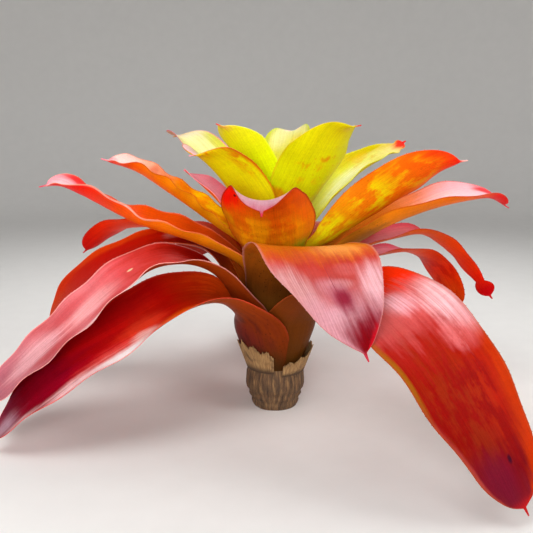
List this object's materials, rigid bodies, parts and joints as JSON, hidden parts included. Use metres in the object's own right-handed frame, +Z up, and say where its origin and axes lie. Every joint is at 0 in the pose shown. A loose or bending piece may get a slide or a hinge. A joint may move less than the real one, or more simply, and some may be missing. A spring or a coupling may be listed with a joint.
{
  "type": "neoregelia plant",
  "caption": "A spreading neoregelia rosette with red outer, orange middle and yellow inner strap leaves on a short cut stem",
  "frame": {"origin": "centre of the flat cut face of the stem, on the surface that the plant stands on", "axes": "+Z up along the stem, -Y towards the viewer, +X to the right"},
  "size_m": [0.4596, 0.4532, 0.2583],
  "materials": {
    "leaf_outer": "satin, red to maroon with a pale pink bloom",
    "leaf_middle": "satin, orange mottled with yellow",
    "leaf_inner": "satin, yellow with orange spots",
    "leaf_heart": "satin, yellow-green",
    "stem": "matt, ringed with leaf scars",
    "dry_stub": "matt, dry and torn"
  },
  "bodies": {
    "root": {"stem": "stem", "dry_stub_1": "dry_stub", "dry_stub_2": "dry_stub", "dry_stub_3": "dry_stub", "outer_leaf_01": "leaf_outer", "outer_leaf_02": "leaf_outer", "outer_leaf_03": "leaf_outer", "outer_leaf_04": "leaf_outer", "outer_leaf_05": "leaf_outer", "outer_leaf_06": "leaf_outer", "outer_leaf_07": "leaf_outer", "outer_leaf_08": "leaf_outer", "outer_leaf_09": "leaf_outer", "outer_leaf_10": "leaf_outer", "outer_leaf_11": "leaf_outer", "middle_leaf_12": "leaf_middle", "middle_leaf_13": "leaf_middle", "middle_leaf_14": "leaf_middle", "middle_leaf_15": "leaf_middle", "middle_leaf_16": "leaf_middle", "middle_leaf_17": "leaf_middle", "inner_leaf_18": "leaf_inner", "middle_leaf_19": "leaf_middle", "inner_leaf_20": "leaf_inner", "inner_leaf_21": "leaf_inner", "inner_leaf_22": "leaf_inner", "inner_leaf_23": "leaf_inner", "inner_leaf_24": "leaf_inner", "heart_leaf_25": "leaf_heart", "heart_leaf_26": "leaf_heart"}
  },
  "joints": []
}
